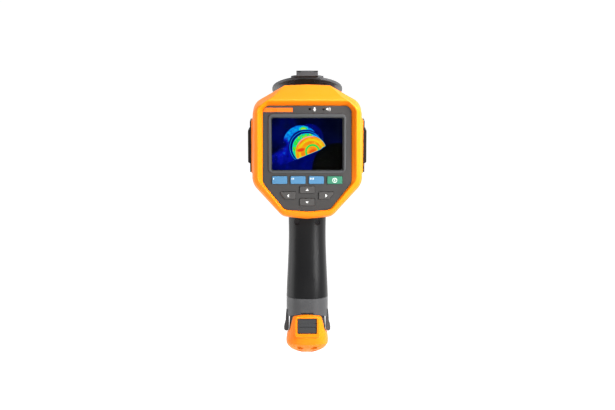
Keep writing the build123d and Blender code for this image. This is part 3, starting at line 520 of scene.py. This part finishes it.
def printed(name, colour):
    """Screen-printed ink."""
    g = Graph(name)
    g.plug(g.mix(g.noise(700, 2.0), scaled(colour, 0.9), scaled(colour, 1.05)), "Base Color")
    g.plug(g.span(g.noise(500, 2.0), 0.3, 0.7, 0.45, 0.6), "Roughness")
    return g.material


def glass(name, colour, roughness, ior):
    """Clear glass with faint smudges."""
    g = Graph(name)
    smudge = g.noise(90, 4.0)
    g.plug(g.span(smudge, 0.45, 0.75, roughness, roughness + 0.05), "Roughness")
    g.plug(g.mix(smudge, scaled(colour, 0.97), colour), "Base Color")
    g.set(Transmission_Weight=1.0, IOR=ior)
    return g.material


def coated_lens():
    """Germanium with an interference coating: dark, mirror-like, faintly violet and green."""
    g = Graph("coated_infrared_lens")
    weight = g.nodes.new("ShaderNodeLayerWeight")
    weight.inputs["Blend"].default_value = 0.35
    tints = [(0.0, (58, 34, 60)), (0.35, (70, 40, 92)), (0.7, (52, 84, 98)), (1.0, (120, 140, 130))]
    colour = g.ramp(weight.outputs["Facing"], [(at, linear(*tint)) for at, tint in tints])
    g.plug(g.mix(g.span(g.noise(120, 4.0), 0.4, 0.7, 0.0, 0.15), colour, (0.02, 0.02, 0.03)), "Base Color")
    g.plug(g.span(g.noise(300, 3.0), 0.3, 0.7, 0.06, 0.12), "Roughness")
    g.set(Metallic=0.85)
    return g.material


# ---------------------------------------------------------------- materials
YELLOW = (0.95, 0.216, 0.002)
materials = {
    "yellow": moulded("yellow_moulded", YELLOW, 0.42, vary=0.02, wear=0.06, specular=0.15),
    "charcoal": moulded("charcoal_moulded", linear(52, 52, 54), 0.5),
    "panel": moulded(
        "panel_moulded", (0.017, 0.0148, 0.0135), 0.4, 3e-5, grain_scale=1700, wear=0.15, specular=0.8
    ),
    "frame": moulded("frame_moulded", (0.055, 0.058, 0.060), 0.42, wear=0.2, specular=0.3),
    # Brown-black colour of the open cover's face: painted shade and a painted reflection of the yellow
    # roof
    "cover_face_painted_reflection": moulded("cover_face_painted_reflection_gloss", (0.042, 0.028, 0.02), 0.24, 8e-6, wear=0.1, specular=0.6),
    "button": moulded("button_moulded", (0.030, 0.031, 0.033), 0.45, wear=0.2),
    "collar": moulded("collar_moulded", (0.050, 0.050, 0.052), 0.36, wear=0.2, specular=0.4),
    "grip": moulded(
        "grip_soft_touch", (0.0035, 0.0035, 0.004), 0.32, 3e-5, grain_scale=1500, wear=0.1, specular=0.23
    ),
    "rubber": moulded("seal_rubber", linear(30, 30, 31), 0.65, wear=0.1),
    "key_blue": moulded("key_blue_silicone", (0.052, 0.165, 0.30), 0.5, wear=0.1, vary=0.03),
    "key_green": moulded("key_green_silicone", (0.025, 0.165, 0.095), 0.5, wear=0.1, vary=0.03),
    "key_grey": moulded("key_grey_silicone", (0.046, 0.043, 0.041), 0.55, wear=0.12, vary=0.04),
    "strip": moulded("strip_orange", (0.9, 0.145, 0.004), 0.35, 5e-6, wear=0.0, vary=0.02),
    "bracket": moulded("bracket_nylon", (0.005, 0.0035, 0.003), 0.45, wear=0.3, specular=0.25),
    "trigger_green": moulded("trigger_green", linear(60, 140, 98), 0.45, wear=0.15),
    "trigger_black": moulded("trigger_black", linear(36, 36, 37), 0.5, wear=0.2),
    "board": moulded("circuit_board", linear(20, 92, 48), 0.35, 8e-6, vary=0.12, wear=0.0),
    "chip": moulded("chip_epoxy", linear(28, 28, 29), 0.5, wear=0.1),
    "cell": moulded("cell_wrap", linear(52, 92, 140), 0.3, 3e-6, wear=0.0),
    "barrel": metal("black_anodised", linear(44, 44, 47), 0.42),
    "chassis": metal("die_cast", linear(158, 160, 164), 0.5),
    "steel": metal("plated_steel", linear(168, 168, 172), 0.28),
    "dark_steel": metal("blackened_steel", linear(62, 62, 64), 0.38),
    "gold": metal("gold_plate", linear(214, 172, 92), 0.25),
    "ink": printed("white_ink", linear(232, 232, 230)),
    "touch": glass("touch_screen_glass", (0.97, 0.98, 1.0), 0.02, 1.03),
    "window": glass("window_glass", (0.55, 0.6, 0.64), 0.03, 1.45),
    "lens": coated_lens(),
}


class Picture:
    """Masks over the display: u and v run from its centre, in half heights of the picture."""

    def __init__(self, graph, mid, half):
        self.graph = graph
        split = graph.nodes.new("ShaderNodeSeparateXYZ")
        graph.links.new(graph.coords, split.inputs[0])
        self.u = graph.math("MULTIPLY", graph.math("SUBTRACT", split.outputs["X"], mid.x), 1 / half)
        self.v = graph.math("MULTIPLY", graph.math("SUBTRACT", split.outputs["Z"], mid.z), 1 / half)

    def both(self, *masks):
        result = masks[0]
        for mask in masks[1:]:
            result = self.graph.math("MULTIPLY", result, mask)
        return result

    def invert(self, mask):
        return self.graph.math("SUBTRACT", 1.0, mask)

    def radius(self, cu, cv, ru, rv, turn=0.0):
        """1 on the ellipse, 0 at its centre."""
        g = self.graph
        c, s = math.cos(turn), math.sin(turn)
        du, dv = g.math("SUBTRACT", self.u, cu), g.math("SUBTRACT", self.v, cv)
        along = g.math("ADD", g.math("MULTIPLY", du, c), g.math("MULTIPLY", dv, s))
        across = g.math("SUBTRACT", g.math("MULTIPLY", dv, c), g.math("MULTIPLY", du, s))
        along, across = g.math("DIVIDE", along, ru), g.math("DIVIDE", across, rv)
        return g.math("SQRT", g.math("ADD", g.math("POWER", along, 2.0), g.math("POWER", across, 2.0)))

    def disc(self, cu, cv, ru, rv, soft=0.03, turn=0.0):
        return self.graph.span(self.radius(cu, cv, ru, rv, turn), 1.0 + soft, 1.0 - soft, smooth=True)

    def ring(self, cu, cv, ru, rv, width, soft=0.02):
        """Line along the inside of an ellipse."""
        inside = self.disc(cu, cv, ru - width, rv - width, soft)
        return self.both(self.disc(cu, cv, ru, rv, soft), self.invert(inside))

    def above(self, slope, offset, soft=0.02):
        g = self.graph
        line = g.math("SUBTRACT", self.v, g.math("ADD", g.math("MULTIPLY", self.u, slope), offset))
        return g.span(line, -soft, soft, smooth=True)

    def over(self, base, mask, value):
        """The base with a value laid over it where the mask is 1."""
        g = self.graph
        return g.math("ADD", g.math("MULTIPLY", base, self.invert(mask)), g.math("MULTIPLY", mask, value))


HEAT = [  # false colours from cold to hot
    (0.0, (0, 0, 0)),
    (0.08, (0, 2, 40)),
    (0.16, (0, 6, 100)),
    (0.25, (6, 18, 185)),
    (0.36, (0, 150, 240)),
    (0.44, (10, 225, 215)),
    (0.54, (20, 225, 20)),
    (0.65, (240, 226, 20)),
    (0.76, (252, 150, 20)),
    (0.86, (240, 50, 20)),
    (1.0, (255, 190, 232)),
]


def lit_display():
    """False-colour picture of a warm turning machine part, drawn from ellipses and a sloping edge."""
    g = Graph("lit_display")
    p = Picture(g, panel_point(0.0, SCREEN_V), PICTURE_H / 2 * MM)
    speckle = g.noise(420, 4.0)
    patch = g.noise(170, 4.0)

    def mottled(low, high, source=patch):
        return g.span(source, 0.32, 0.68, low, high)

    cut = p.above(0.415, -0.425)
    heat = mottled(0.05, 0.12, g.noise(60, 3.0))
    falling = g.span(p.v, -1.0, -0.35, 0.3, 1.0)
    low_left = p.both(p.invert(p.above(0.62, 0.43, 0.12)), g.span(p.u, 0.1, -0.6, smooth=True), falling)
    heat = p.over(heat, low_left, mottled(0.15, 0.29))
    heat = p.over(heat, p.disc(0.08, 0.16, 0.56, 0.62, 0.05), mottled(0.13, 0.18))
    band = p.both(p.disc(-0.24, 0.0, 0.7, 0.72), p.above(-0.9, -0.62, 0.25))
    heat = p.over(heat, band, mottled(0.27, 0.42, speckle))
    heat = p.over(heat, p.disc(-0.14, 0.56, 0.14, 0.1, 0.5), 0.6)
    heat = p.over(heat, p.disc(-0.07, -0.1, 0.66, 0.66), mottled(0.13, 0.2))
    heat = p.over(heat, p.ring(-0.04, -0.13, 0.64, 0.63, 0.02), 0.4)
    heat = p.over(heat, p.disc(0.0, -0.16, 0.575, 0.57), mottled(0.46, 0.6, speckle))
    heat = p.over(heat, p.disc(0.3, 0.27, 0.12, 0.1, 0.6), 0.36)
    heat = p.over(heat, p.both(p.disc(0.155, -0.31, 0.6, 0.615), cut), mottled(0.7, 0.79))
    edge = p.both(p.ring(0.155, -0.31, 0.6, 0.615, 0.03), p.above(-0.75, -0.42, 0.3), cut)
    heat = p.over(heat, g.math("MULTIPLY", edge, g.span(p.u, 0.5, 0.2)), 0.97)
    heat = p.over(heat, p.both(p.disc(0.165, -0.3, 0.5, 0.5), cut), mottled(0.65, 0.7, speckle))
    heat = p.over(heat, p.both(p.disc(0.17, -0.3, 0.42, 0.42), cut), mottled(0.7, 0.8))
    heat = p.over(heat, p.both(p.disc(-0.24, -0.23, 0.16, 0.07, 0.4, 0.25), cut), 0.85)
    heat = p.over(heat, p.both(p.disc(0.21, -0.29, 0.29, 0.29), cut), 0.53)
    heat = p.over(heat, p.both(p.disc(0.21, -0.3, 0.22, 0.22), cut), mottled(0.7, 0.78))
    heat = p.over(heat, p.both(p.disc(0.22, -0.3, 0.15, 0.1, 0.3, 0.4), cut), 0.83)
    below = p.both(p.invert(cut), p.disc(0.05, -0.62, 0.85, 0.5, 0.2))
    heat = p.over(heat, below, mottled(0.12, 0.17))
    heat = p.over(heat, p.disc(1.19, -0.94, 0.99, 0.99), 0.0)
    heat = p.over(heat, p.disc(1.5, 1.1, 0.9, 0.9, 0.3), 0.03)
    picture = g.ramp(heat, [(at, linear(*colour)) for at, colour in HEAT])
    g.plug(picture, "Emission Color")
    g.set(Emission_Strength=1.0, Base_Color=(0.001, 0.001, 0.001, 1.0), Specular_IOR_Level=0.0)
    g.plug(g.span(g.noise(400, 2.0), 0.3, 0.7, 0.5, 0.6), "Roughness")
    return g.material


materials["display"] = lit_display()
materials["display_edge"] = moulded("display_mask", linear(10, 10, 12), 0.3, 0.0, wear=0.0)

# ---------------------------------------------------------------- which finish each node gets
FINISH = {
    "casing_gasket": "rubber",
    "case_screws": "steel",
    "control_panel": "panel",
    "name_strip": "strip",
    "screen_frame": "frame",
    "touch_glass": "touch",
    "lcd_panel": "display_edge",
    "keypad_sheet": "rubber",
    "main_board": "board",
    "board_components": "chip",
    "audio_parts": "chip",
    "lens_barrel": "barrel",
    "front_lens": "lens",
    "lens_retainer": "barrel",
    "rear_lens": "lens",
    "lens_cell": "barrel",
    "detector_module": "chassis",
    "optics_chassis": "chassis",
    "chin_windows": "window",
    "chin_modules": "chip",
    "cover_hinge_pin": "steel",
    "strap_bracket_left": "bracket",
    "strap_bracket_right": "bracket",
    "bracket_screws": "dark_steel",
    "port_door_pin": "steel",
    "port_block": "charcoal",
    "port_sockets": "steel",
    "memory_card": "chip",
    "grip_rear_shell": "grip",
    "grip_front_shell": "grip",
    "grip_screws": "dark_steel",
    "trigger_pin": "steel",
    "trigger_switches": "chip",
    "grip_collar": "collar",
    "battery_contacts": "gold",
    "focus_ring": "rubber",
    "lens_cover": "collar",
    "cover_seal": "rubber",
    "port_door": "charcoal",
    "main_trigger": "trigger_green",
    "small_trigger": "trigger_black",
    "battery_case": "charcoal",
    "battery_cells": "cell",
    "battery_board": "board",
    "cap_screws": "dark_steel",
    "release_button": "button",
    "battery_cap": "yellow",
    "front_case": "charcoal",
    "rear_case": "yellow",
}
ARROW_TURN = {"key_up": 90.0, "key_down": -90.0, "key_left": 180.0, "key_right": 0.0}
SOFT_KEYS = ("key_f1", "key_f2", "key_f3")
FINISH.update({key: "key_grey" for key in ARROW_TURN})
FINISH.update({key: "key_blue" for key in SOFT_KEYS})
FINISH["key_power"] = "key_green"

# Nodes that keep their CAD shape but get rounded edges: node, edge radius in millimetres
SOFTENED = {
    "front_case": 0.6,
    "battery_cap": 0.5,
    "battery_case": 0.4,
    "control_panel": 0.35,
    "lens_cover": 0.4,
    "lens_barrel": 0.4,
    "focus_ring": 0.4,
    "strap_bracket_left": 0.35,
    "strap_bracket_right": 0.35,
    "port_door": 0.3,
    "grip_rear_shell": 0.25,
    "grip_front_shell": 0.25,
    "grip_collar": 0.4,
    "main_trigger": 0.5,
    "small_trigger": 0.3,
    "release_button": 0.3,
    "screen_frame": 0.3,
}
SOFTENED.update({node: 0.25 for node in FINISH if node.startswith("key_")})


def finish_nodes():
    """Gives each CAD node its finish."""
    for node, finish in FINISH.items():
        mesh = NODES[node].data
        mesh.materials.clear()
        mesh.materials.append(materials[finish])


def paint_cover_face_reflection(cover):
    """Gives the broad outer face of the open lens cover a smoother material, darker and browner in colour:
    painted shade and a painted reflection of the yellow roof.
    """
    mesh = cover.data
    mesh.materials.append(materials["cover_face_painted_reflection"])
    turn = math.radians(COVER_OPEN)
    facing = Vector((0.0, math.cos(turn), math.sin(turn)))
    for polygon in mesh.polygons:
        if polygon.normal.dot(facing) > 0.98:
            polygon.material_index = 1


# ---------------------------------------------------------------- rear casing
def make_hood():
    """Body of the rear casing: hood lip, roof facets, cheeks and the ledge behind the control panel."""
    ledge = -PANEL_T - LEDGE_GAP
    profile = [  # each ring, and how far its edge is rounded
        (panel_ring(-PANEL_GAP, 0.0), 0),
        (casing_ring(RIM, CHAMFER_INSET), 1.0),
        (casing_ring(RIM), 1.0),
        (casing_ring(ROUND), 1.2),
        (casing_ring(BROW), 3.0),
        (casing_ring(CREST), 2.0),
        (casing_ring(SPLIT), 0.4),
        (casing_ring(SPLIT, WALL), 0),
        (casing_ring(CREST, WALL), 0),
        (casing_ring(BROW, WALL, INNER_BROW_Y), 0),
        (panel_ring(WALL, -LEDGE_DEPTH), 0),
        (panel_ring(WALL, ledge), 0),
        (panel_ring(-PANEL_GAP, ledge), 0),
    ]
    rings = [ring for ring, _ in profile]
    rounding = [reach for _, reach in profile]
    return skin("casing", eased(rings + rings[:1], rounding)[:-1])


def rounded_block(name, low, high, radius):
    """Block with all edges rounded, corners in millimetres."""
    bm = bmesh.new()
    bmesh.ops.create_cube(bm, size=1.0)
    size = Vector(high) - Vector(low)
    mid = (Vector(high) + Vector(low)) / 2
    bmesh.ops.scale(bm, vec=size * MM, verts=bm.verts)
    bmesh.ops.translate(bm, vec=mid * MM, verts=bm.verts)
    bmesh.ops.bevel(bm, geom=bm.edges, offset=radius * MM, segments=3, affect="EDGES", profile=0.5)
    return from_bmesh(name, bm)


def make_bosses():
    """Pads under the strap brackets."""
    blocks = []
    for side, node in ((1, "strap_bracket_right"), (-1, "strap_bracket_left")):
        low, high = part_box(node)
        low, high = low / MM, high / MM
        face = low.x if side > 0 else high.x
        x0, x1 = sorted((side * BOSS_ROOT_X, face))
        near = (x0, low.y - BOSS_MARGIN_Y, low.z - BOSS_MARGIN_Z)
        far = (x1, high.y + BOSS_MARGIN_Y, high.z + BOSS_MARGIN_Z)
        blocks.append(rounded_block("boss", near, far, BOSS_FILLET))
    return blocks


def make_rear_case():
    """Rear casing with its bosses, which stands for the CAD's."""
    rear = join([make_hood()] + make_bosses(), "rear_casing")
    smooth_by_angle(rear, CASING_ANGLE)
    rear.data.materials.append(materials["yellow"])
    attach(rear, "housing")
    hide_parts("rear_case")


# ---------------------------------------------------------------- grip seam
def make_seam_strips():
    """Dark strips in the joint between the grip's halves, beside the battery bay."""
    edge = [(half - SEAM_INSET, down) for down, half in GRIP_HALVES]
    loops = []
    for side in (1, -1):
        outer = [(side * x, -down) for x, down in edge]
        inner = [(side * BAY_SIDE, -edge[-1][1]), (side * BAY_SIDE, -edge[0][1])]
        loops.append(outer + inner)
    back = -SEAM_T / 2
    obj = flat_decal("grip_seam", loops, lambda u, v, t: grip_point(u, back + t, -v), SEAM_T)
    obj.data.materials.append(materials["rubber"])
    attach(obj, "housing")


# ---------------------------------------------------------------- display picture
def make_picture():
    """Thin lit sheet on the display module, behind the touch glass."""
    w, h = PICTURE_W / 2 - PICTURE_R, PICTURE_H / 2 - PICTURE_R
    loop = []
    for k, (su, sv) in enumerate(((1, 1), (-1, 1), (-1, -1), (1, -1))):
        start = k * math.pi / 2
        loop += arc(su * w, SCREEN_V + sv * h, PICTURE_R, start, start + math.pi / 2, 8)
    back = -PICTURE_DEPTH
    obj = flat_decal("lit_picture", [loop], lambda u, v, t: panel_point(u, v, back + t), PICTURE_T)
    obj.data.materials.append(materials["display"])
    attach(obj, "housing")


# ---------------------------------------------------------------- printed marks
def print_mark(name, loops, height, body):
    """White mark printed at a height over the panel's face."""
    obj = flat_decal(name, loops, lambda u, v, t: panel_point(u, v, height + t))
    obj.data.materials.append(materials["ink"])
    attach(obj, body)


def mark_keys():
    """Arrows, one to three dashes on the soft keys, and the power sign."""
    for node, turn in ARROW_TURN.items():
        u, v = panel_uv(centre(node))
        c, s = math.cos(math.radians(turn)), math.sin(math.radians(turn))
        shape = [(ARROW_TIP, 0.0), (-ARROW_BACK, ARROW_HALF), (-ARROW_BACK, -ARROW_HALF)]
        loop = [(u + x * c - y * s, v + x * s + y * c) for x, y in shape]
        print_mark(node + "_mark", [loop], KEY_TOP, node)
    for count, node in enumerate(SOFT_KEYS, start=1):
        u, v = panel_uv(centre(node))
        dashes = [bar(u + DASH_U + DASH_PITCH * k, v + DASH_V, DASH_W, DASH_H) for k in range(count)]
        print_mark(node + "_mark", dashes, KEY_TOP, node)
    u, v = panel_uv(centre("key_power"))
    halves = [(math.radians(a), math.radians(a + 178)) for a in (0, 180)]
    ring = [arc_band(u, v, POWER_R, POWER_STROKE, start, end) for start, end in halves]
    print_mark("key_power_mark", ring + [bar(u, v, 0.55, POWER_BAR_H)], KEY_TOP, "key_power")


def mark_panel():
    """Small pictures beside the microphone and speaker holes."""
    u, v = MICROPHONE_U, MARKS_V
    cup = arc_band(u, v + 0.2, 1.25, 0.4, math.pi, 2 * math.pi)
    mic = [bar(u, v + 0.7, 1.2, 2.0), cup, bar(u, v - 1.7, 1.7, 0.4)]
    print_mark("microphone_mark", mic, 0.0, "housing")
    u = SPEAKER_U
    half = [(u, 0.5), (u + 0.8, 0.5), (u + 1.9, 1.5)]
    horn = [(x, v + y) for x, y in half] + [(x, v - y) for x, y in reversed(half)]
    waves = [arc_band(u + 1.4, v, r, 0.35, -0.8, 0.8, 8) for r in (1.7, 2.7)]
    print_mark("speaker_mark", [horn] + waves, 0.0, "housing")


# ---------------------------------------------------------------- stage, light and camera
TARGET = Vector((0.0003, -0.110, -0.0539))
AIM = Vector((0.0, -0.11, -0.04))  # where the lights point
DISTANCE = 1.332
ELEVATION = math.radians(10.0)
LENS_MM, SENSOR_MM = 76.3, 36.0
LIGHTS = {  # azimuth from the viewer's side to the right, elevation, distance, side, radiance
    "key_right": (43, 20, 0.6, 0.24, 36.0),
    "top": (60, 78, 1.1, 0.8, 7.0),
    "wall_left": (-95, 8, 0.9, 0.8, 1.8),
    "high_right": (105, 42, 0.9, 0.4, 13.0),
}
FLOOR_Z, FLOOR_HALF, FLOOR_GLOW = -0.46, 80.0, 0.93
WALL_DARK, WALL_BRIGHT, WALL_WHITE = 0.1, 0.28, 1.02  # radiances behind, ahead and at the horizon
WALL_TOP = 0.17  # sine of the white band's height


def make_stage():
    """Pale floor that reaches past the edges of the picture; it glows a little, as a lit table does."""
    f = FLOOR_HALF
    corners = [(-f, -f, FLOOR_Z), (f, -f, FLOOR_Z), (f, f, FLOOR_Z), (-f, f, FLOOR_Z)]
    floor = from_points("floor", corners, [(0, 1, 2, 3)])
    g = Graph("pale_floor")
    g.plug(g.mix(g.noise(3, 2.0), (0.38, 0.38, 0.38), (0.42, 0.42, 0.42)), "Base Color")
    g.plug(g.span(g.noise(5, 2.0), 0.3, 0.7, 0.85, 0.95), "Roughness")
    g.set(Emission_Color=(1, 1, 1, 1), Emission_Strength=FLOOR_GLOW)
    floor.data.materials.append(g.material)


def area_light(name, azimuth, elevation, distance, side, radiance):
    """Square softbox aimed at the object."""
    az, el = math.radians(azimuth), math.radians(elevation)
    towards = Vector((math.sin(az) * math.cos(el), -math.cos(az) * math.cos(el), math.sin(el)))
    data = bpy.data.lights.new(name, "AREA")
    data.shape = "SQUARE"
    data.size = side
    data.energy = radiance * math.pi * side**2
    obj = bpy.data.objects.new(name, data)
    bpy.context.scene.collection.objects.link(obj)
    obj.location = AIM + towards * distance
    obj.rotation_euler = (-towards).to_track_quat("-Z", "Y").to_euler()


def make_world():
    """Studio walls: white up to a little above the horizon, dim overhead and behind the viewer."""
    world = bpy.data.worlds.new("studio")
    bpy.context.scene.world = world
    world.use_nodes = True
    tree = world.node_tree
    nodes, links = tree.nodes, tree.links
    split = nodes.new("ShaderNodeSeparateXYZ")
    links.new(nodes.new("ShaderNodeTexCoord").outputs["Generated"], split.inputs[0])
    dim = map_range(tree, split.outputs["Y"], -0.55, 0.45, WALL_DARK, WALL_BRIGHT, True)
    band = map_range(tree, split.outputs["Z"], WALL_TOP, WALL_TOP + 0.1, WALL_WHITE, 0.0, True)
    brighter = nodes.new("ShaderNodeMath")
    brighter.operation = "MAXIMUM"
    links.new(dim, brighter.inputs[0])
    links.new(band, brighter.inputs[1])
    links.new(brighter.outputs[0], nodes["Background"].inputs["Strength"])
    nodes["Background"].inputs["Color"].default_value = (1, 1, 1, 1)


def make_camera():
    data = bpy.data.cameras.new("camera")
    data.lens = LENS_MM
    data.sensor_width = SENSOR_MM
    data.clip_end = 200
    camera = bpy.data.objects.new("camera", data)
    bpy.context.scene.collection.objects.link(camera)
    back = Vector((0, -math.cos(ELEVATION), math.sin(ELEVATION)))
    camera.location = TARGET + back * DISTANCE
    camera.rotation_euler = (-back).to_track_quat("-Z", "Y").to_euler()
    bpy.context.scene.camera = camera


# ---------------------------------------------------------------- build
finish_nodes()
shells = {node: soften(node, width) for node, width in SOFTENED.items()}
paint_cover_face_reflection(shells["lens_cover"])
make_rear_case()
make_seam_strips()
make_picture()
mark_keys()
mark_panel()

make_stage()
make_world()
for name, settings in LIGHTS.items():
    area_light(name, *settings)
make_camera()
bpy.context.scene.view_settings.view_transform = "Standard"
